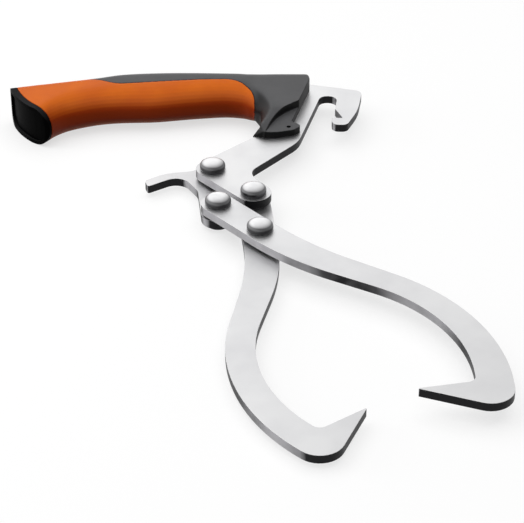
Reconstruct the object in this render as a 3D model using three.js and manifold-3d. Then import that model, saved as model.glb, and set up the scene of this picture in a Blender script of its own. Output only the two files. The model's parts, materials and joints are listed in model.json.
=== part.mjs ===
// Log lifting tongs, closed, lying on their side. Millimetres, +X along the handle, +Z up.
// Two layers of steel plate make a four-bar linkage: the handle plate and the right jaw are in the
// upper layer, the left jaw and the finger lever in the lower one. Four rivets join them.
import * as THREE from 'three';
import { mergeVertices } from 'three/addons/utils/BufferGeometryUtils.js';
import Module from 'manifold-3d';

// Steel plates and the gaps between them
const plateThickness = 5;
const spacerThickness = 1.3;
const faceGap = 0.15;
const fitGap = 0.3;
const armWidth = 19.6;

// Linkage: the pivots are the corners of a parallelogram
const crossLink = 36.5;
const sideLink = 39;
const crossLinkAngle = THREE.MathUtils.degToRad(131.35);
const sideLinkAngle = THREE.MathUtils.degToRad(95.7);

// Rivets and spacer washers
const shankDiameter = 8;
const headDiameter = 15;
const headHeight = 4.2;
const headRimHeight = 1.7;
const headRimRadius = 0.7;
const formedHeadDiameter = 13.5;
const formedHeadHeight = 3.2;
const spacerDiameter = 17.5;

// Jaws
const rightJawDepth = 192;
const rightJawBulge = 67;
const leftJawDepth = 188;
const leftJawBulge = 65.5;
const jawNeckOuterRadius = 185;
const jawNeckInnerRadius = 167;
const jawBellyOuterRadius = 117;
const jawBellyInnerRadius = 92;
const jawHeelRadius = 13;
const jawThroatRadius = 5;

// Handle plate
const platePivotToHook = 92;
const platePivotToTop = 104;
const lugLength = 19;
const lugFlare = 2.5;
const lugCornerRadius = 9;
const elbowRadius = 25;
const notchRadius = 5.4;
const barbRadius = 0.8;
const hookTipRadius = 4.2;
const hookBackRadius = 60;
const hookCornerRadius = 5;
const tangWidth = 13;
const tangLength = 112;
const tangOffset = 4;
const tangDrop = 3;
const tangCornerRadius = 4;
const tangHoleDiameter = 6;

// Finger lever
const leverReach = 39;
const leverTipRadius = 2.5;
const leverCrookRadius = 11;
const leverBackRadius = 25;

// Handle
const handleLength = 190.5;
const gripStandoff = 87.8;
const gripWidth = 38;
const gripThickness = 25.4;
const gripCornerRadius = 10;
const gripWall = 3;
const bolsterReach = 58.6;
const bolsterDepth = 69;
const bolsterThickness = 23;
const bolsterEdgeRadius = 1.6;
const bolsterBackRadius = 8;
const bolsterCornerRadius = 4;
const stepRadius = 45;
const tongueThickness = 4;
const tongueEdgeRadius = 3.4;
const tongueHoleDiameter = 2.4;
const capThickness = 5;
const capRim = 2.4;
const capRecess = 2;
const capCornerRadius = 11;

// How finely curves are cut into flat facets
const arcStepAngle = THREE.MathUtils.degToRad(10);
const arcStepLength = 5;
const turnedFacets = 28;
const cutOverrun = 30;
const mergeDistance = 0.015;

const wasm = await Module();
wasm.setup();

const armRadius = armWidth / 2;
const upperTop = 0;
const upperBottom = upperTop - plateThickness;
const lowerTop = upperBottom - spacerThickness - 2 * faceGap;
const lowerBottom = lowerTop - plateThickness;
const plateMiddle = upperTop - plateThickness / 2;

// Directions and pivot places in the plan, from the crossing rivet that both jaws share
const heading = (angle) => new THREE.Vector2(Math.cos(angle), Math.sin(angle));
const crossDirection = heading(crossLinkAngle);
const sideDirection = heading(sideLinkAngle);
const crossingPivot = new THREE.Vector2(0, 0);
const linkPivot = crossingPivot.clone().addScaledVector(crossDirection, crossLink);
const leftJawPivot = crossingPivot.clone().addScaledVector(sideDirection, sideLink);
const leverPivot = leftJawPivot.clone().addScaledVector(crossDirection, crossLink);

// A solid for joining and cutting, from a closed geometry
function solid(geometry) {
  const shell = geometry.clone();
  shell.deleteAttribute('normal');
  shell.deleteAttribute('uv');
  const merged = mergeVertices(shell);
  return new wasm.Manifold(new wasm.Mesh({
    numProp: 3,
    vertProperties: new Float32Array(merged.attributes.position.array),
    triVerts: new Uint32Array(merged.index.array),
  }));
}

function geometryOf(body) {
  const mesh = body.getMesh();
  const geometry = new THREE.BufferGeometry();
  geometry.setAttribute('position', new THREE.BufferAttribute(new Float32Array(mesh.vertProperties), 3));
  geometry.setIndex(new THREE.BufferAttribute(new Uint32Array(mesh.triVerts), 1));
  return geometry;
}

// A closed outline through corners [x, y, radius], each corner rounded by its radius. Where two
// roundings don't fit on the side between them, they shrink until they do.
function roundedOutline(corners) {
  const count = corners.length;
  const places = corners.map(([x, y]) => new THREE.Vector2(x, y));
  const sides = places.map((place, index) => places[(index + 1) % count].clone().sub(place));
  const directions = sides.map((side) => side.clone().normalize());
  const before = (list, index) => list[(index + count - 1) % count];
  const halfAngles = directions.map((direction, index) => {
    const cosine = -direction.dot(before(directions, index));
    return Math.acos(THREE.MathUtils.clamp(cosine, -1, 1)) / 2;
  });
  const reaches = corners.map(([, , radius], index) => radius / Math.tan(halfAngles[index]));
  const fits = sides.map((side, index) => {
    const needed = reaches[index] + reaches[(index + 1) % count];
    return Math.min(1, side.length() / needed);
  });
  const points = [];
  corners.forEach(([, , fullRadius], index) => {
    const radius = fullRadius * Math.min(fits[index], before(fits, index));
    const toBefore = before(directions, index).clone().negate();
    const toAfter = directions[index];
    const bisector = toBefore.clone().add(toAfter).normalize();
    const halfAngle = halfAngles[index];
    const centre = places[index].clone().addScaledVector(bisector, radius / Math.sin(halfAngle));
    const start = places[index].clone().addScaledVector(toBefore, radius / Math.tan(halfAngle)).sub(centre);
    const turn = (Math.PI - 2 * halfAngle) * Math.sign(toAfter.cross(toBefore));
    const steps = Math.max(2, Math.ceil(Math.abs(turn) / arcStepAngle),
      Math.ceil(Math.abs(turn) * radius / arcStepLength));
    for (let step = 0; step <= steps; step += 1) {
      const angle = turn * step / steps;
      points.push(start.clone().rotateAround(new THREE.Vector2(), angle).add(centre));
    }
  });
  const outline = points.filter((point, index) => {
    const next = points[(index + 1) % points.length];
    return point.distanceTo(next) > mergeDistance;
  });
  return THREE.ShapeUtils.isClockWise(outline) ? outline.reverse() : outline;
}

function roundHole(x, y, radius) {
  const hole = new THREE.Path();
  hole.absarc(x, y, radius, 0, 2 * Math.PI, true);
  return hole;
}

// A flat plate between two heights; grow widens it all round, and thickens both faces as much
function plate(points, holes, bottom, thickness, grow = 0) {
  const shape = new THREE.Shape(points);
  shape.holes = holes;
  const geometry = new THREE.ExtrudeGeometry(shape, {
    depth: thickness,
    curveSegments: turnedFacets / 2,
    bevelEnabled: grow !== 0,
    bevelThickness: Math.abs(grow),
    bevelSize: 0,
    bevelOffset: grow,
    bevelSegments: 1,
  });
  geometry.translate(0, 0, bottom);
  return geometry;
}

// A disc or ring turned about the Z axis from [radius, height] pairs
function turned(profile) {
  const points = profile.map(([radius, height]) => new THREE.Vector2(radius, height));
  const geometry = new THREE.LatheGeometry(points, turnedFacets);
  geometry.rotateX(Math.PI / 2);
  return geometry;
}

const steel = new THREE.MeshStandardMaterial({ color: 0xcfcfd1, roughness: 0.38, metalness: 0.9 });
const rivetSteel = new THREE.MeshStandardMaterial({ color: 0xb4b5b6, roughness: 0.3, metalness: 1 });
const darkPlastic = new THREE.MeshStandardMaterial({ color: 0x5a5b5c, roughness: 0.6, metalness: 0 });
const orangeRubber = new THREE.MeshStandardMaterial({ color: 0xc8600f, roughness: 0.65, metalness: 0 });
const blackPlastic = new THREE.MeshStandardMaterial({ color: 0x0b0b0c, roughness: 0.55, metalness: 0 });

const tongs = new THREE.Group();

function addPiece(parent, name, geometry, material) {
  const mesh = new THREE.Mesh(geometry, material);
  mesh.name = name;
  parent.add(mesh);
  return mesh;
}

// Jaws: one outline for both, drawn along the grip line that halves the angle between the arms.
// Corner shares are [along the grip line, outward, radius], of the jaw's depth and bulge.
const gripLineAngle = (crossLinkAngle + sideLinkAngle) / 2 + Math.PI;
const armSpread = (crossLinkAngle - sideLinkAngle) / 2;
const jawOuterShares = [[0.651, 1.275, jawBellyOuterRadius], [1.059, 0.758, jawHeelRadius]];
const jawTipShares = [0.87, 0.192];
const jawInnerShares = [[0.904, 0.645, jawThroatRadius], [0.621, 0.975, jawBellyInnerRadius]];
const neckOuterShare = 0.157;
const neckInnerShare = 0.165;

function jawOutline(pivotSpacing, side, jawDepth, jawBulge) {
  const arm = heading(armSpread);
  const across = heading(armSpread + Math.PI / 2);
  const onArm = (distance, offset) => arm.clone().multiplyScalar(distance).addScaledVector(across, offset);
  const corner = (point, radius) => [point.x, side * point.y, radius];
  const scaled = ([along, out, radius]) => [along * jawDepth, side * out * jawBulge, radius];
  const end = -pivotSpacing - armRadius;
  return roundedOutline([
    corner(onArm(end, -armRadius), armRadius),
    corner(onArm(end, armRadius), armRadius),
    corner(onArm(neckOuterShare * jawDepth, armRadius), jawNeckOuterRadius),
    ...jawOuterShares.map(scaled),
    [jawTipShares[0] * jawDepth, side * jawTipShares[1] * jawBulge, barbRadius / 2],
    ...jawInnerShares.map(scaled),
    corner(onArm(neckInnerShare * jawDepth, -armRadius), jawNeckInnerRadius),
  ]);
}

const holeRadius = shankDiameter / 2 + fitGap;

function addJaw(name, pivotSpacing, side, bottom, depth, bulge) {
  const endPivot = heading(armSpread).multiplyScalar(-pivotSpacing);
  const holes = [roundHole(0, 0, holeRadius), roundHole(endPivot.x, side * endPivot.y, holeRadius)];
  const outline = jawOutline(pivotSpacing, side, depth, bulge);
  const jaw = plate(outline, holes, bottom, plateThickness);
  const mesh = addPiece(tongs, name, jaw, steel);
  mesh.position.set(crossingPivot.x, crossingPivot.y, 0);
  mesh.rotation.z = gripLineAngle;
}

addJaw('right_jaw', crossLink, 1, upperBottom, rightJawDepth, rightJawBulge);
addJaw('left_jaw', sideLink, -1, lowerBottom, leftJawDepth, leftJawBulge);

// Places on the handle plate, as shares of its reach from the lever rivet to hook and top
function onPlate([along, up, radius]) {
  return [leverPivot.x + along * platePivotToHook, leverPivot.y + up * platePivotToTop, radius];
}

// Where the handle lies: its front end, the middle of its grip, and the tang along it
const handleFront = leverPivot.x + bolsterReach;
const handleMiddle = leverPivot.y + gripStandoff;
const tangMiddle = handleMiddle + tangOffset;
const tangRoot = handleFront - bolsterReach / 2;
const tangEnd = handleFront - tangLength;
const stripAngle = THREE.MathUtils.degToRad(43.8);

function handlePlateOutline() {
  const lugSide = heading(crossLinkAngle + Math.PI / 2);
  const onLug = (distance, offset) => leftJawPivot.clone()
    .addScaledVector(crossDirection, distance).addScaledVector(lugSide, offset);
  const corner = (point, radius) => [point.x, point.y, radius];
  // The strip's upper edge touches the round end at the lever rivet
  const strip = heading(stripAngle);
  const stripSide = heading(stripAngle + Math.PI / 2);
  const onStrip = (distance) => leverPivot.clone()
    .addScaledVector(stripSide, armRadius).addScaledVector(strip, distance);
  const turnAtLever = Math.tan((crossLinkAngle - stripAngle) / 2) * armRadius;
  const tangBack = tangMiddle + tangWidth / 2;
  const tangFront = tangMiddle - tangWidth / 2;
  const shoulder = onStrip(bolsterReach - armRadius / 2);
  return roundedOutline([
    corner(onLug(-armRadius, armRadius), armRadius),
    corner(onLug(-armRadius, -armRadius), armRadius),
    corner(onLug(lugLength, -armRadius - lugFlare), lugCornerRadius),
    ...[
      [0.555, 0.299, elbowRadius],
      [0.714, 0.847, notchRadius],
      [0.83, 0.847, notchRadius],
      [0.808, 0.69, barbRadius],
      [0.858, 0.577, barbRadius],
      [0.7815, 0.5865, 2 * barbRadius],
      [0.783, 0.5, hookTipRadius],
      [0.88, 0.498, hookTipRadius],
      [0.96, 0.671, hookBackRadius],
      [1.0, 0.91, hookCornerRadius],
      [0.63, 0.998, hookCornerRadius],
    ].map(onPlate),
    [tangRoot, tangBack, tangCornerRadius],
    [tangEnd, tangBack - tangDrop, tangCornerRadius],
    [tangEnd, tangFront - tangDrop, tangCornerRadius],
    [shoulder.x, tangFront, tangCornerRadius],
    corner(shoulder, tangCornerRadius / 2),
    corner(onStrip(-turnAtLever), armRadius),
  ]);
}

// Two holes in the tang, which the moulded core fills
const tangHoleShares = [0.25, 0.8];
const tangHoles = tangHoleShares.map((share) => [
  THREE.MathUtils.lerp(tangRoot, tangEnd, share), tangMiddle - share * tangDrop]);
const plateOutline = handlePlateOutline();
const pivotHoles = [leverPivot, leftJawPivot].map((pivot) => roundHole(pivot.x, pivot.y, holeRadius));
const tangHolePaths = tangHoles.map(([x, y]) => roundHole(x, y, tangHoleDiameter / 2));
addPiece(tongs, 'handle_plate',
  plate(plateOutline, [...pivotHoles, ...tangHolePaths], upperBottom, plateThickness), steel);

// Finger lever: its tail's corners are shares of its reach, from the lever rivet
const leverNeckShare = 0.36;

function leverOutline() {
  const along = heading(sideLinkAngle);
  const across = heading(sideLinkAngle + Math.PI / 2);
  const onLever = (distance, offset, radius = armRadius) => {
    const point = leverPivot.clone().addScaledVector(along, distance).addScaledVector(across, offset);
    return [point.x, point.y, radius];
  };
  const tail = ([x, y, radius]) => [leverPivot.x + x * leverReach, leverPivot.y + y * leverReach, radius];
  const end = -sideLink - armRadius;
  return roundedOutline([
    onLever(end, armRadius),
    onLever(end, -armRadius),
    onLever(armRadius, -armRadius),
    ...[
      [-0.077, 0.34, leverCrookRadius / 2],
      [-0.333, 0.198, leverCrookRadius / 2],
      [-0.744, 0.12, leverBackRadius],
      [-1.03, -0.084, leverTipRadius],
      [-0.974, -0.25, leverTipRadius / 2],
      [-0.628, -0.02, leverCrookRadius],
      [-0.423, -0.02, leverCrookRadius],
    ].map(tail),
    onLever(-leverNeckShare * leverReach, armRadius, leverCrookRadius),
  ]);
}

const leverHoles = [leverPivot, linkPivot].map((pivot) => roundHole(pivot.x, pivot.y, holeRadius));
addPiece(tongs, 'finger_lever', plate(leverOutline(), leverHoles, lowerBottom, plateThickness), steel);

// Rivets: a button head above, a shank through both plates, a formed head below
const shankRadius = shankDiameter / 2;
const headUnderside = upperTop + faceGap;
const formedTop = lowerBottom - faceGap;

function domeProfile(base, direction, radius, height, rim) {
  const domeSteps = 4;
  const domeFullness = 0.6;
  const domeHeight = height - rim;
  const rings = [[radius - headRimRadius, base], [radius, base + direction * headRimRadius]];
  for (let step = 0; step < domeSteps; step += 1) {
    const angle = step / domeSteps * Math.PI / 2;
    const reach = radius * Math.cos(angle) ** domeFullness;
    rings.push([reach, base + direction * (rim + domeHeight * Math.sin(angle))]);
  }
  rings.push([0, base + direction * height]);
  return rings;
}

function rivetGeometry() {
  const head = domeProfile(headUnderside, 1, headDiameter / 2, headHeight, headRimHeight);
  const formed = domeProfile(formedTop, -1, formedHeadDiameter / 2, formedHeadHeight, headRimHeight);
  const shank = [[shankRadius, formedTop], [shankRadius, headUnderside]];
  return turned([...formed.reverse(), ...shank, ...head]);
}

function spacerGeometry() {
  const bottom = lowerTop + faceGap;
  const top = upperBottom - faceGap;
  const inner = shankRadius + fitGap;
  const outer = spacerDiameter / 2;
  return turned([[inner, bottom], [outer, bottom], [outer, top], [inner, top], [inner, bottom]]);
}

const pivots = [
  ['lever', leverPivot], ['left_jaw', leftJawPivot], ['link', linkPivot], ['crossing', crossingPivot],
];
pivots.forEach(([name, place]) => {
  const joint = new THREE.Group();
  joint.position.set(place.x, place.y, 0);
  tongs.add(joint);
  addPiece(joint, `${name}_rivet`, rivetGeometry(), rivetSteel);
  addPiece(joint, `${name}_spacer`, spacerGeometry(), rivetSteel);
});

// Grip sections, front to butt: shares of handle length, then back edge and front edge as shares of
// grip width from the middle, then thickness as a share of grip thickness
const gripSectionShares = [
  [0.16, 0.47, -0.39, 0.9], [0.223, 0.489, -0.252, 0.94], [0.281, 0.5, -0.215, 0.97],
  [0.392, 0.505, -0.299, 1], [0.502, 0.495, -0.394, 1], [0.613, 0.432, -0.402, 1],
  [0.692, 0.324, -0.449, 1], [0.776, 0.216, -0.607, 1], [0.824, 0.158, -0.818, 1],
  [0.851, 0.124, -1, 1], [0.9, 0.066, -1.3, 1], [1.01, -0.079, -1.59, 1],
];

// The grip's outer form, drawn in from its skin by inset
function gripForm(inset) {
  const stationsPerSection = 2;
  const curves = [1, 2, 3].map((column) => new THREE.SplineCurve(
    gripSectionShares.map((row) => new THREE.Vector2(row[0], row[column]))));
  const cornerSteps = 6;
  const quarters = 4;
  const stations = (gripSectionShares.length - 1) * stationsPerSection;
  const rings = [];
  for (let station = 0; station <= stations; station += 1) {
    const [back, front, thick] = curves.map((curve) => curve.getPoint(station / stations));
    const halfWide = (back.y - front.y) / 2 * gripWidth - inset;
    const halfThick = thick.y / 2 * gripThickness - inset;
    const middle = handleMiddle + (back.y + front.y) / 2 * gripWidth;
    const radius = gripCornerRadius - inset;
    const ring = [];
    for (let quarter = 0; quarter < quarters; quarter += 1) {
      const middleAngle = (quarter + 1 / 2) * Math.PI / 2;
      const signY = Math.sign(Math.cos(middleAngle));
      const signZ = Math.sign(Math.sin(middleAngle));
      for (let step = 0; step <= cornerSteps; step += 1) {
        const angle = (quarter + step / cornerSteps) * Math.PI / 2;
        ring.push(new THREE.Vector3(
          handleFront - back.x * handleLength,
          middle + signY * (halfWide - radius) + radius * Math.cos(angle),
          plateMiddle + signZ * (halfThick - radius) + radius * Math.sin(angle)));
      }
    }
    rings.push(ring);
  }
  return loftedSolid(rings);
}

// A closed solid through rings of equal point count, with a fan at each end
function loftedSolid(rings) {
  const count = rings[0].length;
  const places = rings.flat().flatMap((point) => point.toArray());
  const index = [];
  for (let ring = 0; ring < rings.length - 1; ring += 1) {
    for (let side = 0; side < count; side += 1) {
      const here = ring * count + side;
      const next = ring * count + (side + 1) % count;
      index.push(here, here + count, next, next, here + count, next + count);
    }
  }
  const lastRing = (rings.length - 1) * count;
  for (let side = 1; side < count - 1; side += 1) {
    index.push(0, side, side + 1, lastRing, lastRing + side + 1, lastRing + side);
  }
  const geometry = new THREE.BufferGeometry();
  geometry.setAttribute('position', new THREE.Float32BufferAttribute(places, 3));
  geometry.setIndex(index);
  return solid(geometry);
}

// A prism that runs right through the handle's thickness
function throughCut(corners, grow = 0) {
  const depth = gripThickness + 2 * cutOverrun;
  return solid(plate(roundedOutline(corners), [], plateMiddle - depth / 2, depth, grow));
}

// A place in the handle's frame: shares of handle length back from the front, of grip width up
const onHandle = ([back, up, radius]) => [
  handleFront - back * handleLength, handleMiddle + up * gripWidth, radius];

// The handle's butt is cut on the slant; the cap is the last slice of it
const buttFlareAngle = THREE.MathUtils.degToRad(44);
const buttShares = [[0.846, -0.95], [0.986, -0.02]];
const buttNear = new THREE.Vector2(...onHandle(buttShares[0]));
const buttFar = new THREE.Vector2(...onHandle(buttShares[1]));
const buttAlong = buttFar.clone().sub(buttNear).normalize();
const buttInward = new THREE.Vector2(buttAlong.y, -buttAlong.x);

// All of the handle that lies further in than a plane set back from the butt face
function insideButt(setback) {
  const along = (point, stretch, inward) => point.clone()
    .addScaledVector(buttAlong, stretch).addScaledVector(buttInward, inward);
  return throughCut([
    along(buttNear, -handleLength, setback), along(buttFar, handleLength, setback),
    along(buttFar, handleLength, 2 * handleLength), along(buttNear, -handleLength, 2 * handleLength),
  ].map((point) => [point.x, point.y, fitGap]));
}

// The grip's skin with the corners of its butt rounded in the plan
function buttRounding(grow) {
  const edge = buttNear.clone().add(heading(buttFlareAngle).multiplyScalar(gripWidth / 2));
  const right = handleFront + cutOverrun;
  const low = handleMiddle - 2 * gripWidth;
  const high = handleMiddle + gripWidth + cutOverrun;
  return throughCut([
    [buttNear.x, buttNear.y, capCornerRadius], [buttFar.x, buttFar.y, capCornerRadius / 2],
    [buttFar.x, high, capCornerRadius], [right, high, capCornerRadius],
    [right, low, capCornerRadius], [edge.x, edge.y, capCornerRadius],
  ], grow);
}

const gripSkin = () => gripForm(0).intersect(buttRounding(0));

// The dark part of the handle seen from above: the spine along the back, then the whole front end
const spineShares = [
  [0.712, 0.62, 0.1], [0.7, 0.18, 0.12], [0.645, -0.09, 0.3], [0.5, 0.02, 0.8], [0.36, 0.1, 0.8],
  [0.245, 0.13, 0.42], [0.187, -0.22, 0.5], [0.183, -1.2, 0.1], [-0.1, -1.2, 0.1], [-0.1, 0.62, 0.1],
];
const spineRegion = (grow) => throughCut(
  spineShares.map(([back, up, radius]) => onHandle([back, up, radius * gripWidth])), grow);

// Front end: shares of bolster depth, from its front end, measured back and down from the back edge
const bolsterBack = handleMiddle + gripWidth / 2;
const onBolster = ([back, down, radius]) => [
  handleFront - back * bolsterDepth, bolsterBack - down * bolsterDepth, radius];

// The bolster in section: rounded along its back, its faces falling away to the tongue at its tip
const fallShares = [0.72, 1.04];
function bolsterSection() {
  const face = bolsterThickness / 2;
  const low = plateThickness / 2 + tongueThickness;
  const [high, tip] = fallShares.map((share) => bolsterBack - share * bolsterDepth);
  const half = [
    [bolsterBack, face, bolsterBackRadius], [high, face, bolsterEdgeRadius],
    [tip, low, bolsterEdgeRadius], [tip - cutOverrun, low, bolsterEdgeRadius],
  ];
  const mirrored = half.map(([back, height, radius]) => [back, -height, radius]).reverse();
  const section = plate(roundedOutline([...half, ...mirrored]), [], 0, handleLength);
  section.applyMatrix4(new THREE.Matrix4().makeBasis(
    new THREE.Vector3(0, 1, 0), new THREE.Vector3(0, 0, 1), new THREE.Vector3(1, 0, 0)));
  section.translate(handleFront + cutOverrun - handleLength, 0, plateMiddle);
  return solid(section);
}

function bolsterSolid() {
  const upper = [
    [0.74, 0, bolsterCornerRadius], [0.02, 0, 2 * bolsterCornerRadius],
    [-0.006, 0.17, bolsterCornerRadius], [0.097, 0.58, bolsterEdgeRadius],
    [0.31, 0.72, stepRadius], [0.4, 1.03, bolsterEdgeRadius / 2],
    [0.46, 0.95, bolsterCornerRadius / 2], [0.48, 0.6, bolsterDepth / 6],
    [0.56, 0.47, bolsterDepth / 8], [0.74, 0.47, bolsterCornerRadius],
  ].map(onBolster);
  const depth = bolsterThickness;
  const block = solid(plate(roundedOutline(upper), [], plateMiddle - depth / 2, depth));
  // The tongue lies on both faces of the plate, below the step
  const tongue = [
    [0.12, 0.5, bolsterEdgeRadius], [0.16, 0.845, bolsterEdgeRadius],
    [0.09, 0.92, tongueEdgeRadius], [0.16, 1, tongueEdgeRadius],
    [0.33, 1.06, bolsterDepth / 3], [0.505, 1.015, bolsterEdgeRadius / 2], [0.445, 0.93, bolsterEdgeRadius],
    [0.47, 0.5, bolsterEdgeRadius],
  ].map(onBolster);
  const tongueDepth = plateThickness + 2 * tongueThickness;
  const flap = solid(plate(roundedOutline(tongue), [], plateMiddle - tongueDepth / 2, tongueDepth));
  const [holeX, holeY] = onBolster([0.2, 0.92]);
  const drill = new THREE.CylinderGeometry(tongueHoleDiameter / 2, tongueHoleDiameter / 2, tongueDepth,
    turnedFacets / 2);
  drill.rotateX(Math.PI / 2);
  drill.translate(holeX, holeY, plateMiddle + tongueDepth / 2);
  return block.intersect(spineRegion(0)).intersect(bolsterSection()).add(flap).subtract(solid(drill));
}

function coreSolid() {
  const pegHoles = tangHoles.map(([x, y]) => roundHole(x, y, tangHoleDiameter / 2));
  const plateSlot = solid(plate(plateOutline, pegHoles, upperBottom, plateThickness, fitGap));
  const spine = gripSkin().intersect(spineRegion(0));
  const underGrip = gripForm(gripWall + fitGap);
  return spine.add(underGrip)
    .intersect(insideButt(capThickness + fitGap))
    .add(bolsterSolid())
    .subtract(plateSlot);
}

function gripSolid() {
  return gripSkin()
    .intersect(insideButt(capThickness + fitGap))
    .subtract(spineRegion(fitGap))
    .subtract(gripForm(gripWall));
}

function capSolid() {
  const outward = buttInward.clone().multiplyScalar(-2 * capRim);
  const mouth = buttRounding(-capRim).translate([outward.x, outward.y, 0]);
  const recess = gripForm(capRim).intersect(mouth).subtract(insideButt(capRecess));
  return gripSkin().subtract(insideButt(capThickness)).subtract(recess);
}

addPiece(tongs, 'handle_core', geometryOf(coreSolid()), darkPlastic);
addPiece(tongs, 'soft_grip', geometryOf(gripSolid()), orangeRubber);
addPiece(tongs, 'butt_cap', geometryOf(capSolid()), blackPlastic);

// The origin is under the middle of the closed tongs, on the surface that they lie on
const reach = new THREE.Box3().setFromObject(tongs, true);
const middle = reach.getCenter(new THREE.Vector3());
tongs.position.set(-middle.x, -middle.y, -reach.min.z);

export default tongs;
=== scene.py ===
# Log lifting tongs, closed, lying on a pale floor. Metres, +X along the handle, +Z up.
import json
import math

import bpy
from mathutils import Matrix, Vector


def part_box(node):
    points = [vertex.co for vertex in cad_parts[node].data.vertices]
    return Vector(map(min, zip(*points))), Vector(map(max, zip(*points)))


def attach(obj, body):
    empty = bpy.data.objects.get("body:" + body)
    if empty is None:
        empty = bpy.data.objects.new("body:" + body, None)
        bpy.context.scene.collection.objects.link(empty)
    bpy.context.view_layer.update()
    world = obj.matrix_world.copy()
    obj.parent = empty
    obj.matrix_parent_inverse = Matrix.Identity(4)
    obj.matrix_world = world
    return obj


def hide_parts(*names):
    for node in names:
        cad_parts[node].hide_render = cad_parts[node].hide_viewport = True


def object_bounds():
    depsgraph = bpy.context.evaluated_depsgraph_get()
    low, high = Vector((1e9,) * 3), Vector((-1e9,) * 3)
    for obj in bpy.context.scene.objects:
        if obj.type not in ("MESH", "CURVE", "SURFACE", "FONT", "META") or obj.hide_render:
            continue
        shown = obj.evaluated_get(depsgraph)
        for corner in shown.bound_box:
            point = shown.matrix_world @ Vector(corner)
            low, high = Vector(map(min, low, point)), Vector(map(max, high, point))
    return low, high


mm = 0.001
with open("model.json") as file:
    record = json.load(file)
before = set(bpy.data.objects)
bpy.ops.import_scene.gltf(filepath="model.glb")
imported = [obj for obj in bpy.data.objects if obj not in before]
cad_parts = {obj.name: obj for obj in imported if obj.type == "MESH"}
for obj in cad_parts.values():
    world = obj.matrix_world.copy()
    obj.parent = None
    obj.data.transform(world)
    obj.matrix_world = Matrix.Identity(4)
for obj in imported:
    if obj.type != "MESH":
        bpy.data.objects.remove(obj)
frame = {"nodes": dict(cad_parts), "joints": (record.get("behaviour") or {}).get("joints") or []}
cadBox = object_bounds()
joints = {joint["name"]: Vector(joint["pos_m"]) for joint in frame["joints"]}
crossingPivot = joints["right_jaw_pivot"]
leftJawPivot = joints["left_jaw_pivot"]
leverPivot = joints["finger_lever_pivot"]
linkPivot = crossingPivot + leverPivot - leftJawPivot  # the fourth corner of the parallelogram
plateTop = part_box("handle_plate")[1].z
plateMiddle = (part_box("handle_plate")[0].z + plateTop) / 2
print("frame loaded, box", [round(v, 4) for corner in cadBox for v in corner])


# Camera, from the crossing rivet's place on the upper plate
cameraLook = {"offset": (1.1 * mm, -946.9 * mm, 604.7 * mm), "tilt": 56.5, "lens": 137.4, "sensor": 36}


def makeCamera(look):
    place = Vector((crossingPivot.x, crossingPivot.y, plateTop)) + Vector(look["offset"])
    bpy.ops.object.camera_add(location=place, rotation=(math.radians(look["tilt"]), 0, 0))
    camera = bpy.context.object
    camera.name = "photo_camera"
    camera.data.lens = look["lens"]
    camera.data.sensor_width = look["sensor"]
    bpy.context.scene.camera = camera


makeCamera(cameraLook)
print("camera placed")


# Shader maths: a Wire is one output socket, and + - * / on it add Math nodes
class Wire:
    def __init__(self, shader, socket):
        self.shader = shader
        self.socket = socket

    def join(self, operation, first, second):
        return self.shader.node("ShaderNodeMath", {"operation": operation}, (first, second))

    def __add__(self, other):
        return self.join("ADD", self, other)

    def __radd__(self, other):
        return self.join("ADD", other, self)

    def __sub__(self, other):
        return self.join("SUBTRACT", self, other)

    def __rsub__(self, other):
        return self.join("SUBTRACT", other, self)

    def __mul__(self, other):
        return self.join("MULTIPLY", self, other)

    def __rmul__(self, other):
        return self.join("MULTIPLY", other, self)

    def atLeast(self, other):
        return self.join("MAXIMUM", self, other)

    def atMost(self, other):
        return self.join("MINIMUM", self, other)


class Shader:
    def __init__(self, name, kind="materials"):
        self.material = getattr(bpy.data, kind).new(name)
        self.material.use_nodes = True
        self.nodes = self.material.node_tree.nodes
        self.links = self.material.node_tree.links

    def node(self, kind, settings=None, values=(), output=0):
        made = self.nodes.new(kind)
        for key, value in (settings or {}).items():
            setattr(made, key, value)
        pairs = values.items() if isinstance(values, dict) else enumerate(values)
        for key, value in pairs:
            self.plug(value, made.inputs[key])
        return Wire(self, made.outputs[output])

    def plug(self, value, socket):
        if isinstance(value, Wire):
            self.links.new(value.socket, socket)
        else:
            socket.default_value = value

    def blend(self, factor, first, second):
        return self.node("ShaderNodeMix", {"data_type": "RGBA"}, {0: factor, 6: first, 7: second}, 2)

    def noise(self, place, scale, detail=2.0):
        return self.node("ShaderNodeTexNoise", {}, {"Vector": place, "Scale": scale, "Detail": detail})

    def spread(self, value, low, high, toLow=0.0, toHigh=1.0):
        values = {"Value": value, "From Min": low, "From Max": high, "To Min": toLow, "To Max": toHigh}
        return self.node("ShaderNodeMapRange", {"clamp": True}, values)

    def axes(self, vector):
        return (self.node("ShaderNodeSeparateXYZ", {}, (vector,), axis) for axis in "XYZ")

    def facing(self):
        # which way the surface looks: to +X, to +Y, and up or down
        x, y, z = self.axes(self.node("ShaderNodeTexCoord", output="Normal"))
        return x, y, self.node("ShaderNodeMath", {"operation": "ABSOLUTE"}, (z,))

    def finish(self, **values):
        surface = self.nodes["Principled BSDF"]
        for key, value in values.items():
            self.plug(value, surface.inputs[key.replace("_", " ")])
        return self.material


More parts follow.
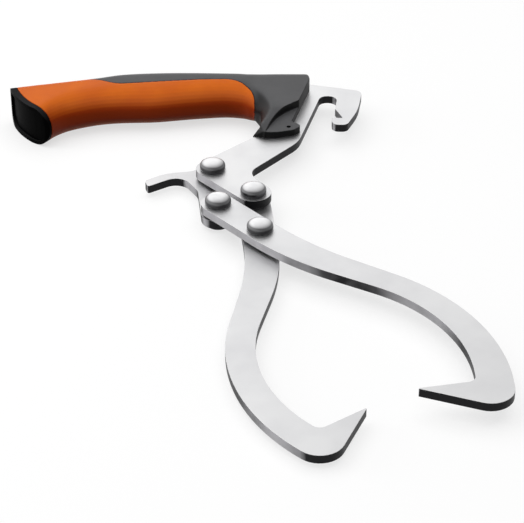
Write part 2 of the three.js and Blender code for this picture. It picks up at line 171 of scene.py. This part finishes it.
# Finishes, in linear colours. Clouds and grain are noises, given by their scale. Wear is the range of
# clouds over which the worn colour comes in. A turn is the range of facing up, 1 on a flat top and 0 on
# an upright side; over it one colour gives way to the next, as painted highlight and shade.
steelFinish = {
    "face": (0.7, 0.7, 0.705, 1), "faceWorn": (0.64, 0.64, 0.65, 1), "wear": (0.4, 0.75),
    # the bevelled rims between face and side, given a brighter colour as a painted highlight
    "rim": (0.93, 0.93, 0.94, 1), "rimTurn": (0.9, 0.99), "rimDull": 0.8,
    # the cut sides, darkened as painted shade, with a painted highlight where they look to the left and
    # the front
    "edge": (0.022, 0.022, 0.024, 1), "edgeTurn": (0.3, 0.6),
    "sideHighlight": (0.82, 0.81, 0.84, 1), "highlightSide": (-0.77, -0.64),
    "highlightFrom": (0.99, 1.06), "highlightClouds": 0.1,
    "clouds": 35, "cloudDetail": 3.0, "grain": 900,
    "roughness": 0.32, "cloudRoughness": 0.12, "grainRoughness": 0.08,
    "bump": 0.012, "bumpDepth": 0.03 * mm, "specular": 0.12,
}
rivetFinish = {
    "bright": (0.72, 0.72, 0.725, 1), "dull": (0.62, 0.62, 0.63, 1), "wear": (0.35, 0.7),
    # painted shade: the dome's rounded edge and the head's upright side are darker than its top
    "shoulder": (0.17, 0.17, 0.175, 1), "shoulderTurn": (0.84, 0.998),
    "wallShade": (0.07, 0.07, 0.073, 1), "wallTurn": (0.12, 0.5),
    "clouds": 160, "cloudDetail": 2.0, "grain": 1400,
    "roughness": 0.31, "cloudRoughness": 0.0, "grainRoughness": 0.1,
    "bump": 0.04, "bumpDepth": 0.05 * mm,
}
mouldedSkin = {
    "wear": (0.35, 0.7), "clouds": 55, "cloudDetail": 3.0,
    "cloudRoughness": 0.1, "grainRoughness": 0.08, "bump": 0.25, "bumpDepth": 0.04 * mm,
}
# painted shade: the steep sides are darkened towards a shade colour, keeping at least a given share of
# the other colours
plasticFinish = {
    **mouldedSkin, "base": (0.064, 0.064, 0.0665, 1), "pale": (0.078, 0.078, 0.081, 1),
    "steepShade": (0, 0, 0, 1), "steepShadeTurn": (0.74, 0.985), "steepShadeKeeps": 0.1,
    "grain": 2600, "roughness": 0.37, "specular": 0.13,
}
rubberFinish = {
    **mouldedSkin, "base": (0.6, 0.108, 0.0005, 1), "pale": (0.67, 0.135, 0.001, 1),
    "steepShade": (0.34, 0.034, 0, 1), "steepShadeTurn": (0.35, 0.95), "steepShadeKeeps": 0.0,
    "grain": 3200, "roughness": 0.41, "specular": 0.18,
}
capFinish = {
    **mouldedSkin, "base": (0.014, 0.014, 0.0145, 1), "pale": (0.02, 0.02, 0.021, 1),
    "steepShade": (0, 0, 0, 1), "steepShadeTurn": (0.25, 0.9), "steepShadeKeeps": 0.1,
    "grain": 2200, "roughness": 0.36, "specular": 0.01,
}


def texture(shader, finish):
    # a finish's clouds, its roughness and its fine bump
    place = shader.node("ShaderNodeTexCoord", output="Object")
    clouds = shader.noise(place, finish["clouds"], finish["cloudDetail"])
    grain = shader.noise(place, finish["grain"])
    roughness = (finish["roughness"] + finish["cloudRoughness"] * clouds
                 + finish["grainRoughness"] * grain)
    bump = shader.node("ShaderNodeBump", {}, {
        "Strength": finish["bump"], "Distance": finish["bumpDepth"], "Height": grain})
    return clouds, roughness, bump


def plateSteel(name, finish):
    shader = Shader(name)
    clouds, roughness, bump = texture(shader, finish)
    sideX, sideY, upright = shader.facing()
    face = shader.blend(shader.spread(clouds, *finish["wear"]), finish["face"], finish["faceWorn"])
    # painted highlight: the bevelled rims get a brighter colour than the face
    onFace = shader.spread(upright, *finish["rimTurn"])
    # painted shade: the cut sides get a dark colour
    onSide = shader.spread(upright, *finish["edgeTurn"], 1.0, 0.0)
    # painted highlight on the cut sides that look to the left and the front
    highlightX, highlightY = finish["highlightSide"]
    towards = sideX * highlightX + sideY * highlightY + finish["highlightClouds"] * clouds
    pale = shader.spread(towards, *finish["highlightFrom"])
    side = shader.blend(pale, finish["edge"], finish["sideHighlight"])
    colour = shader.blend(onSide, shader.blend(onFace, finish["rim"], face), side)
    # the bevelled rims and the cut sides, which carry the painted highlight and shade, scatter light
    metallic = onFace * finish["rimDull"] + (1 - finish["rimDull"])
    return shader.finish(Base_Color=colour, Metallic=metallic, Roughness=roughness,
                         Specular_IOR_Level=finish["specular"], Normal=bump)


def rivetSteel(name, finish):
    shader = Shader(name)
    clouds, roughness, bump = texture(shader, finish)
    upright = shader.facing()[2]
    top = shader.blend(shader.spread(clouds, *finish["wear"]), finish["bright"], finish["dull"])
    # painted shade on the dome's rounded edge and the head's upright side, by how far they turn from
    # facing up
    shoulder = shader.blend(shader.spread(upright, *finish["shoulderTurn"]), finish["shoulder"], top)
    colour = shader.blend(shader.spread(upright, *finish["wallTurn"]), finish["wallShade"], shoulder)
    return shader.finish(Base_Color=colour, Metallic=1.0, Roughness=roughness, Normal=bump)


def moulded(name, finish):
    shader = Shader(name)
    clouds, roughness, bump = texture(shader, finish)
    rubbed = shader.blend(shader.spread(clouds, *finish["wear"]), finish["base"], finish["pale"])
    # painted shade on the steep sides, by how far they turn from facing up
    unshaded = shader.spread(shader.facing()[2], *finish["steepShadeTurn"], finish["steepShadeKeeps"], 1.0)
    colour = shader.blend(unshaded, finish["steepShade"], rubbed)
    return shader.finish(Base_Color=colour, Roughness=roughness,
                         Specular_IOR_Level=finish["specular"], Normal=bump)


plateMaterial = plateSteel("plate_steel", steelFinish)
rivetMaterial = rivetSteel("rivet_steel", rivetFinish)
plasticMaterial = moulded("dark_plastic", plasticFinish)
rubberMaterial = moulded("orange_rubber", rubberFinish)
capMaterial = moulded("black_plastic", capFinish)
print("finishes made")


# Modelling helpers
def onlySelect(piece):
    bpy.ops.object.select_all(action="DESELECT")
    piece.hide_set(False)
    piece.select_set(True)
    bpy.context.view_layer.objects.active = piece


def paint(piece, material):
    piece.data.materials.clear()
    piece.data.materials.append(material)


def loft(name, rings):
    # a filled circle, extruded from ring to ring, each ring's points set in its place
    bpy.ops.object.select_all(action="DESELECT")
    bpy.ops.mesh.primitive_circle_add(vertices=len(rings[0]), fill_type="NGON")
    piece = bpy.context.object
    piece.name = piece.data.name = name
    standing = [vertex.co.copy() for vertex in piece.data.vertices]
    for step, ring in enumerate(rings):
        if step:
            bpy.ops.object.mode_set(mode="EDIT")
            bpy.ops.mesh.extrude_region_move()
            bpy.ops.object.mode_set(mode="OBJECT")
        moving = [vertex for vertex in piece.data.vertices if vertex.select]
        for vertex in moving:
            nearest = min(range(len(standing)), key=lambda i: (standing[i] - vertex.co).length_squared)
            vertex.co = ring[nearest]
        standing = [Vector(point) for point in ring]
    bpy.ops.object.mode_set(mode="EDIT")
    bpy.ops.mesh.select_all(action="SELECT")
    bpy.ops.mesh.normals_make_consistent(inside=False)
    bpy.ops.object.mode_set(mode="OBJECT")
    return piece


def roundedOutline(corners, arcStep=math.radians(7), closest=0.02 * mm):
    # points round a closed outline of corners (x, y, radius); a rounding shrinks to fit its sides
    count = len(corners)
    places = [Vector(corner[:2]) for corner in corners]
    sides = [places[(index + 1) % count] - places[index] for index in range(count)]
    halfAngles = [(-sides[index - 1]).angle(sides[index]) / 2 for index in range(count)]
    reaches = [corner[2] / math.tan(half) for corner, half in zip(corners, halfAngles)]
    taken = [reaches[index] + reaches[(index + 1) % count] for index in range(count)]
    fits = [min(1, side.length / length) if length else 1 for side, length in zip(sides, taken)]
    points = []
    for index, place in enumerate(places):
        radius = corners[index][2] * min(fits[index], fits[index - 1])
        toBefore, toAfter = -sides[index - 1].normalized(), sides[index].normalized()
        half = halfAngles[index]
        centre = place + (toBefore + toAfter).normalized() * radius / math.sin(half)
        start = place + toBefore * radius / math.tan(half) - centre
        turn = (math.pi - 2 * half) * math.copysign(1, toAfter.cross(toBefore))
        steps = max(2, math.ceil(abs(turn) / arcStep))
        for step in range(steps + 1):
            angle = turn * step / steps
            cosine, sine = math.cos(angle), math.sin(angle)
            points.append(centre + Vector((start.x * cosine - start.y * sine,
                                           start.x * sine + start.y * cosine)))
    return [point for index, point in enumerate(points) if (point - points[index - 1]).length > closest]


def ringAround(x, y, z, radius, count):
    turns = [2 * math.pi * step / count for step in range(count)]
    return [Vector((x + radius * math.cos(turn), y + radius * math.sin(turn), z)) for turn in turns]


def slab(name, corners, low, high):
    outline = roundedOutline(corners)
    return loft(name, [[Vector((p.x, p.y, z)) for p in outline] for z in (low, high)])


def combine(piece, cutter, operation):
    onlySelect(piece)
    modifier = piece.modifiers.new("combine", "BOOLEAN")
    modifier.operation = operation
    modifier.solver = "EXACT"
    modifier.object = cutter
    bpy.ops.object.modifier_apply(modifier=modifier.name)
    bpy.data.objects.remove(cutter)
    return piece


def copyOf(piece, name):
    mesh = piece.data.copy()
    mesh.name = name
    made = bpy.data.objects.new(name, mesh)
    bpy.context.scene.collection.objects.link(made)
    return made


def trim(piece, point, normal, reach=0.4):
    # keeps what lies behind the plane; reach takes the cutter past the whole piece
    along = normal.orthogonal().normalized() * reach
    across = normal.cross(along).normalized() * reach
    square = [point + along * a + across * b for a, b in ((1, 1), (-1, 1), (-1, -1), (1, -1))]
    behind = [corner - normal.normalized() * 2 * reach for corner in square]
    return combine(piece, loft("behind", [square, behind]), "INTERSECT")


def softenEdges(piece, look):
    onlySelect(piece)
    bevel = piece.modifiers.new("soften", "BEVEL")
    bevel.limit_method = "ANGLE"
    bevel.angle_limit = math.radians(look["sharpAngle"])
    bevel.width = look["edgeRadius"]
    bevel.segments = look["edgeSegments"]
    bevel.use_clamp_overlap = True
    bpy.ops.object.modifier_apply(modifier=bevel.name)
    return piece


def soften(piece, voxel, rounds, weight=None):
    # an even skin of small quads, its edges and joins eased; weight(point) says where
    onlySelect(piece)
    piece.data.remesh_voxel_size = voxel
    piece.data.use_remesh_fix_poles = False
    bpy.ops.object.voxel_remesh()
    modifier = piece.modifiers.new("ease", "SMOOTH")
    modifier.factor = 0.5
    modifier.iterations = rounds
    if weight:
        group = piece.vertex_groups.new(name="ease")
        for vertex in piece.data.vertices:
            group.add([vertex.index], weight(vertex.co), "REPLACE")
        modifier.vertex_group = group.name
    bpy.ops.object.modifier_apply(modifier=modifier.name)
    piece.vertex_groups.clear()
    return piece


def smoothShade(piece, angle, weighted=True):
    onlySelect(piece)
    bpy.ops.object.shade_smooth_by_angle(angle=math.radians(angle))
    if weighted:
        modifier = piece.modifiers.new("weighted", "WEIGHTED_NORMAL")
        modifier.keep_sharp = True
        bpy.ops.object.modifier_apply(modifier=modifier.name)
    return piece


def settle(piece, body, material, node):
    paint(piece, material)
    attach(piece, body)
    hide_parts(node)


# Steel plates: a merged copy of each, its cut edges eased. Angles in degrees.
plateLook = {
    "edgeRadius": 0.6 * mm, "edgeSegments": 3, "sharpAngle": 60, "shadeAngle": 40,
    "mergeWithin": 0.002 * mm, "flatWithin": 0.5,
}
plates = {
    "handle_plate": "handle",
    "right_jaw": "right_jaw",
    "left_jaw": "left_jaw",
    "finger_lever": "finger_lever",
}


def makePlate(node, body, look):
    plate = copyOf(frame["nodes"][node], node + "_steel")
    onlySelect(plate)
    bpy.ops.object.mode_set(mode="EDIT")
    bpy.ops.mesh.select_all(action="SELECT")
    bpy.ops.mesh.remove_doubles(threshold=look["mergeWithin"])
    bpy.ops.mesh.dissolve_limited(angle_limit=math.radians(look["flatWithin"]))
    bpy.ops.object.mode_set(mode="OBJECT")
    softenEdges(plate, look)
    smoothShade(plate, look["shadeAngle"])
    settle(plate, body, plateMaterial, node)


for node, body in plates.items():
    makePlate(node, body, plateLook)
print("steel plates eased")


# Rivets and spacers
rivetLook = {
    "head": 7.5 * mm, "headHeight": 4.6 * mm, "rim": 2.1 * mm,
    "rimRadius": 0.6 * mm, "rimEase": 0.3,  # the rounding's middle point, a share of its radius
    "formed": 6.75 * mm, "formedHeight": 3.2 * mm, "shank": 4 * mm, "gap": 0.15 * mm,
    "domeSteps": 9, "fullness": 0.55, "tip": 0.02,  # a lower fullness is squarer
    "around": 72, "shadeAngle": 30,
}
rivets = [
    ("lever_rivet", leverPivot, "handle"),
    ("left_jaw_rivet", leftJawPivot, "handle"),
    ("link_rivet", linkPivot, "right_jaw"),
    ("crossing_rivet", crossingPivot, "right_jaw"),
]
spacers = ["lever_spacer", "left_jaw_spacer", "link_spacer", "crossing_spacer"]


def headProfile(radius, height, look):
    dome = height - look["rim"]
    rounding = look["rimRadius"]
    eased = rounding * look["rimEase"]
    profile = [(radius - rounding, 0), (radius - eased, eased), (radius, rounding)]
    for step in range(look["domeSteps"]):
        angle = step / look["domeSteps"] * math.pi / 2
        out = radius * math.cos(angle) ** look["fullness"]
        profile.append((out, look["rim"] + dome * math.sin(angle)))
    profile.append((look["tip"] * radius, height))
    return profile


def makeRivet(name, place, body, look):
    top = plateTop + look["gap"]
    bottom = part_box("left_jaw")[0].z - look["gap"]
    formed = [(r, bottom - h) for r, h in headProfile(look["formed"], look["formedHeight"], look)]
    head = [(r, top + h) for r, h in headProfile(look["head"], look["headHeight"], look)]
    profile = formed[::-1] + [(look["shank"], bottom), (look["shank"], top)] + head
    rings = [ringAround(place.x, place.y, z, r, look["around"]) for r, z in profile]
    rivet = loft(name + "_button", rings)
    smoothShade(rivet, look["shadeAngle"], weighted=False)
    settle(rivet, body, rivetMaterial, name)


for name, place, body in rivets:
    makeRivet(name, place, body, rivetLook)
for name in spacers:
    paint(frame["nodes"][name], rivetMaterial)
print("rivets turned")


# Handle: places on it are given back from its front end and up from its middle line
handleFront = leverPivot.x + 58.6 * mm
handleMiddle = leverPivot.y + 87.8 * mm
handleShape = {
    "length": 190.5 * mm, "width": 38 * mm, "thickness": 25.4 * mm,
    # the front corners: their height, a share of the thickness, and their longest reach
    "frontThrough": 0.45, "frontMost": 20 * mm,
    "undersideLeast": 0.3,  # the lower back corner is at least this round
    "stations": 44, "cornerSteps": 9,
    # back from the front end, back edge, front edge and thickness, as shares, then how round the
    # back corners are, of the thickness, and how far the front ones reach, of the width
    "sections": [
        (0.174, 0.474, -0.49, 0.86, 0.37, 0.66), (0.19, 0.478, -0.46, 0.89, 0.37, 0.62),
        (0.223, 0.489, -0.345, 0.96, 0.38, 0.56), (0.281, 0.5, -0.3, 0.98, 0.39, 0.56),
        (0.392, 0.505, -0.375, 1, 0.39, 0.56), (0.502, 0.495, -0.48, 1, 0.39, 0.54),
        (0.613, 0.432, -0.5, 1, 0.37, 0.54), (0.692, 0.296, -0.56, 1, 0.33, 0.56),
        (0.776, 0.156, -0.73, 1, 0.26, 0.54), (0.824, 0.079, -0.93, 1, 0.22, 0.5),
        (0.851, 0.03, -1.12, 1, 0.19, 0.46), (0.9, -0.042, -1.4, 1, 0.16, 0.4),
        (1.01, -0.195, -1.7, 1, 0.14, 0.36),
    ],
    # where the orange grip gives way to the dark spine and front end
    "spine": [
        (0.79, 0.62, 0.1), (0.765, 0.17, 0.12), (0.69, 0.08, 0.35), (0.63, -0.05, 0.4),
        (0.5, 0.02, 0.8), (0.36, 0.1, 0.8), (0.24, 0.13, 0.42), (0.18, -0.22, 0.5),
        (0.176, -2.2, 0.1), (-0.1, -2.2, 0.1), (-0.1, 0.62, 0.1),
    ],
    "formVoxel": 0.7 * mm, "skinVoxel": 0.5 * mm, "easeRounds": 3, "shadeAngle": 60,
    # the blend of grip and front end, which fades towards the guard's tip down to tipLeast
    "blend": {"at": 0.16, "reach": 6.5 * mm, "rounds": 60, "tip": 20 * mm, "tipLeast": 0.2},
}
buttShape = {
    # the face's ends, how far it bows out, and the radians by which a cutter's arc runs on past them
    "line": [(0.843, -1.04), (0.9765, -0.147)], "bulge": 4.2 * mm, "runOn": 0.35,
    "arcSteps": 16, "nearSteps": 4,  # the near corner's rounding stands for the arc's first steps
    "radius": 5 * mm, "backRadius": 1 * mm,
    "flare": 38,  # degrees at which the front edge runs to the face
    "thickness": 3.8 * mm, "gap": 0.3 * mm, "rim": 2.3 * mm, "recess": 1.4 * mm,
    "recessRadii": (8.5 * mm, 3.5 * mm, 8 * mm),  # at the front, at the top of the back and below it
    "edgeRadius": 0.6 * mm, "edgeSegments": 3, "sharpAngle": 35, "shadeAngle": 40,
}
bolsterShape = {
    "depth": 69 * mm, "thickness": 22.4 * mm, "backRadius": 8 * mm,
    "fall": (0.7, 1.04), "fallRadius": 20 * mm,  # the faces fall away to the tongue between these
    "ends": (0.74, -0.15),
    # back from the front end, down from the back edge, radius, all shares of the depth:
    # the bulk of the front end, what the whole core keeps within, and the thin tongue with the guard
    "block": [
        (0.74, 0, 0), (-0.15, 0, 0), (-0.15, 1.04, 0), (0.405, 1.04, 0.006),
        (0.449, 0.975, 0.01), (0.435, 0.66, 0.12), (0.495, 0.57, 0.05), (0.51, 0.34, 0),
        (0.74, 0.34, 0),
    ],
    "step": [
        (2.9, -0.05, 0), (0.02, 0, 0.16), (-0.006, 0.17, 0.058), (0.097, 0.57, 0.02),
        (0.3, 0.745, 0.65), (0.405, 1.04, 0.006), (0.42, 1.3, 0), (2.9, 1.3, 0),
    ],
    "tongue": [
        (0.079, 0.5, 0.023), (0.165, 0.835, 0.023), (0.068, 0.905, 0.049), (0.145, 0.985, 0.06),
        (0.33, 1.04, 0.333), (0.512, 1.002, 0.003), (0.452, 0.955, 0.01), (0.4, 0.8, 0.023),
        (0.33, 0.5, 0.023),
    ],
    # the finger's scoop, a cone from above and from below: its middle, radius at the plate and slope
    "scoop": (0.9, 0.72), "scoopRadius": 25.5 * mm, "scoopSlope": 1.12, "scoopSides": 96,
    # the guard's point: its faces slope to the plate through these, back, down and share of the height
    "point": [(0.51, 1.001, 0), (0.454, 0.958, 1), (0.409, 1.03, 1)],
    "tongueThickness": 4 * mm,
    "hole": (0.193, 0.932), "holeRadius": 1.35 * mm, "holeDepth": 3 * mm, "holeSides": 24,
    "drillClear": 2 * mm,
}


def onHandle(back, up, radius=0.0):
    width = handleShape["width"]
    return (handleFront - back * handleShape["length"], handleMiddle + up * width, radius * width)


def onBolster(back, down, radius=0.0):
    depth = bolsterShape["depth"]
    edge = handleMiddle + handleShape["width"] / 2
    return (handleFront - back * depth, edge - down * depth, radius * depth)


def plan(name, corners):
    # a prism that runs right through the handle's thickness
    return slab(name, corners, -handleShape["width"], 2 * handleShape["width"])


def spinePlan():
    return plan("spine_plan", [onHandle(*row) for row in handleShape["spine"]])


def splineThrough(rows, share):
    # a smooth curve through the rows of numbers, share from 0 to 1
    position = share * (len(rows) - 1)
    index = min(int(position), len(rows) - 2)
    t = position - index
    a, b, c, d = (rows[min(max(index + k, 0), len(rows) - 1)] for k in (-1, 0, 1, 2))
    return [((-p + 3 * q - 3 * r + s) * t ** 3 + (2 * p - 5 * q + 4 * r - s) * t ** 2
             + (r - p) * t + 2 * q) / 2 for p, q, r, s in zip(a, b, c, d)]


def handleRing(row, shape):
    back, backEdge, frontEdge, thick, backRound, frontRound = row
    width = (backEdge - frontEdge) * shape["width"]
    thickness = thick * shape["thickness"]
    x = handleFront - back * shape["length"]
    ring = []
    for quarter in range(4):
        isBack = quarter in (0, 3)
        if quarter == 3:
            backRound = max(backRound, shape["undersideLeast"])
        reach = backRound * thickness if isBack else min(frontRound * width, shape["frontMost"])
        height = (backRound if isBack else shape["frontThrough"]) * thickness
        edge = handleMiddle + (backEdge if isBack else frontEdge) * shape["width"]
        centreY = edge - reach if isBack else edge + reach
        centreZ = plateMiddle + (thickness / 2 - height) * (1 if quarter < 2 else -1)
        for step in range(shape["cornerSteps"] + 1):
            angle = (quarter + step / shape["cornerSteps"]) * math.pi / 2
            y = centreY + reach * math.cos(angle)
            ring.append(Vector((x, y, centreZ + height * math.sin(angle))))
    return ring


def buttArc(butt, inset, beyond=0.0):
    # the butt's bowed line in plan from its near end to its far one, set in, and run on past its ends
    chord = (buttEnd - buttPoint).length
    radius = (chord ** 2 / 4 + butt["bulge"] ** 2) / (2 * butt["bulge"])
    half = math.asin(chord / 2 / radius) + beyond
    centre = (buttPoint + buttEnd) / 2 + buttOutward * (butt["bulge"] - radius)
    steps = butt["arcSteps"]
    angles = [half * (2 * step / steps - 1) for step in range(steps + 1)]
    return [centre + (buttOutward * math.cos(angle) + buttAlong * math.sin(angle)) * (radius - inset)
            for angle in angles]


def withinButt(butt, inset):
    # all of the handle that lies further in than the butt's face, set in
    arc = buttArc(butt, inset, butt["runOn"])
    right = handleFront + handleShape["width"]
    high, low = (handleMiddle + side * handleShape["width"] for side in (3, -3))
    corners = [(arc[-1].x, high), (right, high), (right, low), (arc[0].x, low)]
    return plan("within_butt", [(p.x, p.y, 0) for p in arc] + [(x, y, 0) for x, y in corners])


def makeLoft(shape, butt):
    stations = shape["stations"]
    rows = [splineThrough(shape["sections"], step / stations) for step in range(stations + 1)]
    form = loft("handle_form", [handleRing(row, shape) for row in rows])
    near, *arc, far = buttArc(butt, 0)
    flare = math.radians(butt["flare"])
    edge = near + Vector((math.cos(flare), math.sin(flare), 0)) * shape["width"] / 2
    high, low = (handleMiddle + side * shape["width"] for side in (2, -2))
    right = handleFront + shape["width"]
    outline = [(near.x, near.y, butt["radius"])]
    outline += [(p.x, p.y, 0) for p in arc[butt["nearSteps"]:]]
    outline += [(far.x, far.y, butt["backRadius"]), (far.x, high, 0), (right, high, 0),
                (right, low, 0), (edge.x, edge.y, 0)]
    return combine(form, plan("butt_rounding", outline), "INTERSECT")


def bolsterBlock(shape):
    # the front end in section: rounded along its back, its faces falling away to the tongue
    half = shape["thickness"] / 2
    low = plateTop - plateMiddle + shape["tongueThickness"]
    back = onBolster(0, 0)[1]
    high, tip = (onBolster(0, share)[1] for share in shape["fall"])
    past = tip - shape["depth"] / 4
    upper = [(back, half, shape["backRadius"]), (high, half, shape["fallRadius"]),
             (tip, low, 0), (past, low, 0)]
    section = roundedOutline(upper + [(y, -z, radius) for y, z, radius in upper[::-1]])
    ends = [onBolster(end, 0)[0] for end in shape["ends"]]
    block = loft("bolster", [[Vector((x, p.x, plateMiddle + p.y)) for p in section] for x in ends])
    combine(block, plan("block_outline", [onBolster(*row) for row in shape["block"]]), "INTERSECT")
    scoopBolster(block, shape)
    return combine(pointed(block, shape), spinePlan(), "INTERSECT")


def scoopBolster(block, shape):
    x, y, _ = onBolster(*shape["scoop"])
    for side in (1, -1):
        rings = []
        for rise in (0, shape["thickness"]):
            radius = shape["scoopRadius"] + shape["scoopSlope"] * rise
            rings.append(ringAround(x, y, plateMiddle + side * rise, radius, shape["scoopSides"]))
        combine(block, loft("scoop", rings), "DIFFERENCE")


def pointed(piece, shape):
    # the guard's point, sloped above and below
    half = plateTop - plateMiddle
    for side in (1, -1):
        points = []
        for back, down, share in shape["point"]:
            height = plateMiddle + side * (half + share * shape["tongueThickness"])
            points.append(Vector((*onBolster(back, down)[:2], height)))
        tip, corner, low = points
        normal = (corner - tip).cross(low - tip)
        trim(piece, tip, normal if normal.x < 0 else -normal)
    return piece


def makeTongue(shape):
    reach = plateTop - plateMiddle + shape["tongueThickness"]
    outline = [onBolster(*row) for row in shape["tongue"]]
    return pointed(slab("tongue", outline, plateMiddle - reach, plateMiddle + reach), shape)


def drillTongue(core, shape):
    x, y, _ = onBolster(*shape["hole"])
    top = plateTop + shape["tongueThickness"]
    under = 2 * plateMiddle - top
    for ends in ((top - shape["holeDepth"], top + shape["drillClear"]),
                 (under - shape["drillClear"], under + shape["holeDepth"])):
        rings = [ringAround(x, y, z, shape["holeRadius"], shape["holeSides"]) for z in ends]
        combine(core, loft("tongue_drill", rings), "DIFFERENCE")


buttPoint, buttEnd = (Vector((*onHandle(*place)[:2], plateMiddle)) for place in buttShape["line"])
buttAlong = (buttEnd - buttPoint).normalized()
buttOutward = Vector((-buttAlong.y, buttAlong.x, 0))
coarseHandle = makeLoft(handleShape, buttShape)
gripEnd = buttShape["thickness"] + buttShape["gap"]


def makeForm(shape):
    # grip and front end in one, blended where they meet
    form = combine(copyOf(coarseHandle, "soft_form"), bolsterBlock(bolsterShape), "UNION")
    blend = shape["blend"]
    seam = onHandle(blend["at"], 0)[0]
    tip = onBolster(0, 1)[1]

    def weight(point):
        awayFromTip = min(max((point.y - tip) / blend["tip"], blend["tipLeast"]), 1)
        return math.exp(-((point.x - seam) / blend["reach"]) ** 2) * awayFromTip

    soften(form, shape["formVoxel"], blend["rounds"], weight)
    return form


softHandle = makeForm(handleShape)
print("handle form blended, faces", len(softHandle.data.polygons))


def makeCap(butt):
    cap = copyOf(coarseHandle, "butt_cap_moulding")
    combine(cap, withinButt(butt, butt["thickness"]), "DIFFERENCE")
    high = handleShape["thickness"] / 2 - butt["rim"]
    far = (buttEnd - buttPoint).length - butt["rim"]
    front, backTop, backUnder = butt["recessRadii"]
    outline = roundedOutline([(butt["rim"], high, front), (far, high, backTop),
                              (far, -high, backUnder), (butt["rim"], -high, front)])
    reach = 2 * butt["bulge"]  # the cutter runs past the bowed face, and in to the recess's floor
    rings = [[buttPoint + buttAlong * p.x + Vector((0, 0, p.y)) + buttOutward * depth for p in outline]
             for depth in (-reach, reach)]
    recess = combine(loft("cap_recess", rings), withinButt(butt, butt["recess"]), "DIFFERENCE")
    combine(cap, recess, "DIFFERENCE")
    softenEdges(cap, butt)
    smoothShade(cap, butt["shadeAngle"])
    settle(cap, "handle", capMaterial, "butt_cap")


def makeGrip(shape):
    grip = copyOf(softHandle, "soft_grip_moulding")
    combine(grip, withinButt(buttShape, gripEnd), "INTERSECT")
    combine(grip, spinePlan(), "DIFFERENCE")
    soften(grip, shape["skinVoxel"], shape["easeRounds"])
    smoothShade(grip, shape["shadeAngle"], weighted=False)
    settle(grip, "handle", rubberMaterial, "soft_grip")
    print("grip moulded, faces", len(grip.data.polygons))


def makeCore(shape, bolster):
    core = copyOf(softHandle, "handle_core_moulding")
    combine(core, withinButt(buttShape, gripEnd), "INTERSECT")
    combine(core, spinePlan(), "INTERSECT")
    combine(core, plan("step_keep", [onBolster(*row) for row in bolster["step"]]), "INTERSECT")
    combine(core, makeTongue(bolster), "UNION")
    soften(core, shape["skinVoxel"], shape["easeRounds"])
    drillTongue(core, bolster)
    smoothShade(core, shape["shadeAngle"], weighted=False)
    settle(core, "handle", plasticMaterial, "handle_core")
    print("core moulded, faces", len(core.data.polygons))


makeCap(buttShape)
makeGrip(handleShape)
makeCore(handleShape, bolsterShape)
for form in (coarseHandle, softHandle):
    bpy.data.objects.remove(form)
print("handle moulded")


# Studio: pale floor, soft light from above and behind
studio = {
    "floor": 6, "floorRoughness": 0.9,
    # the floor as it is seen, with its glow, and the light that it sends up to the tongs
    "pale": (0.35, 0.35, 0.35, 1), "glow": 0.66, "bounce": (0.06, 0.06, 0.06, 1),
    "fill": 0.13,  # the sky's own light
    # what metal sees: a backdrop brightest low down behind the tongs, darker to the front and the right
    "backdrop": 1.46, "level": 0.5, "rise": 2.4, "side": 2.4, "range": (0.8, 1.75),
    "front": 0.5, "frontTurn": (-0.6, 0.6),
    "lamps": [
        # name, direction from the object, distance, size, power
        ("key", (-0.15, 0.1, 1.0), 1.7, 3.2, 50),
        ("side", (-1.0, 0.1, 0.3), 1.4, 0.5, 3),
    ],
}


def seenDirectly(shader):
    path = shader.nodes.new("ShaderNodeLightPath")
    camera, glossy, through = (Wire(shader, path.outputs[name]) for name in
                               ("Is Camera Ray", "Is Glossy Ray", "Is Transmission Ray"))
    return camera.atLeast(glossy).atLeast(through)


def makeFloor(studio):
    bpy.ops.object.select_all(action="DESELECT")
    bpy.ops.mesh.primitive_plane_add(size=studio["floor"])
    floor = bpy.context.object
    floor.name = "studio_floor"
    shader = Shader("studio_floor")
    seen = seenDirectly(shader)
    colour = shader.blend(seen, studio["bounce"], studio["pale"])
    paint(floor, shader.finish(Base_Color=colour, Roughness=studio["floorRoughness"],
                               Specular_IOR_Level=0.0, Emission_Color=(1, 1, 1, 1),
                               Emission_Strength=seen * studio["glow"]))


def makeSky(studio):
    sky = Shader("studio_sky", "worlds")
    x, y, z = sky.axes(sky.node("ShaderNodeTexCoord", output="Generated"))
    backdrop = studio["backdrop"] - studio["rise"] * (z - studio["level"]) - studio["side"] * x
    behind = sky.spread(y, *studio["frontTurn"], studio["front"], 1.0)
    least, most = studio["range"]
    mirrored = backdrop.atLeast(least).atMost(most) * behind
    strength = seenDirectly(sky) * (mirrored - studio["fill"]) + studio["fill"]
    background = sky.nodes["Background"]
    background.inputs["Color"].default_value = (1, 1, 1, 1)
    sky.links.new(strength.socket, background.inputs["Strength"])
    bpy.context.scene.world = sky.material


def makeLamps(studio):
    middle = (cadBox[0] + cadBox[1]) / 2
    for name, direction, distance, size, power in studio["lamps"]:
        towards = Vector(direction).normalized()
        bpy.ops.object.light_add(type="AREA", location=middle + towards * distance)
        lamp = bpy.context.object
        lamp.name = name + "_lamp"
        lamp.rotation_euler = towards.to_track_quat("Z", "Y").to_euler()
        lamp.data.size = size
        lamp.data.energy = power
        lamp.visible_glossy = False  # the steel mirrors the sky alone


makeFloor(studio)
makeSky(studio)
makeLamps(studio)
bpy.context.scene.view_settings.view_transform = "Standard"
print("studio lit")
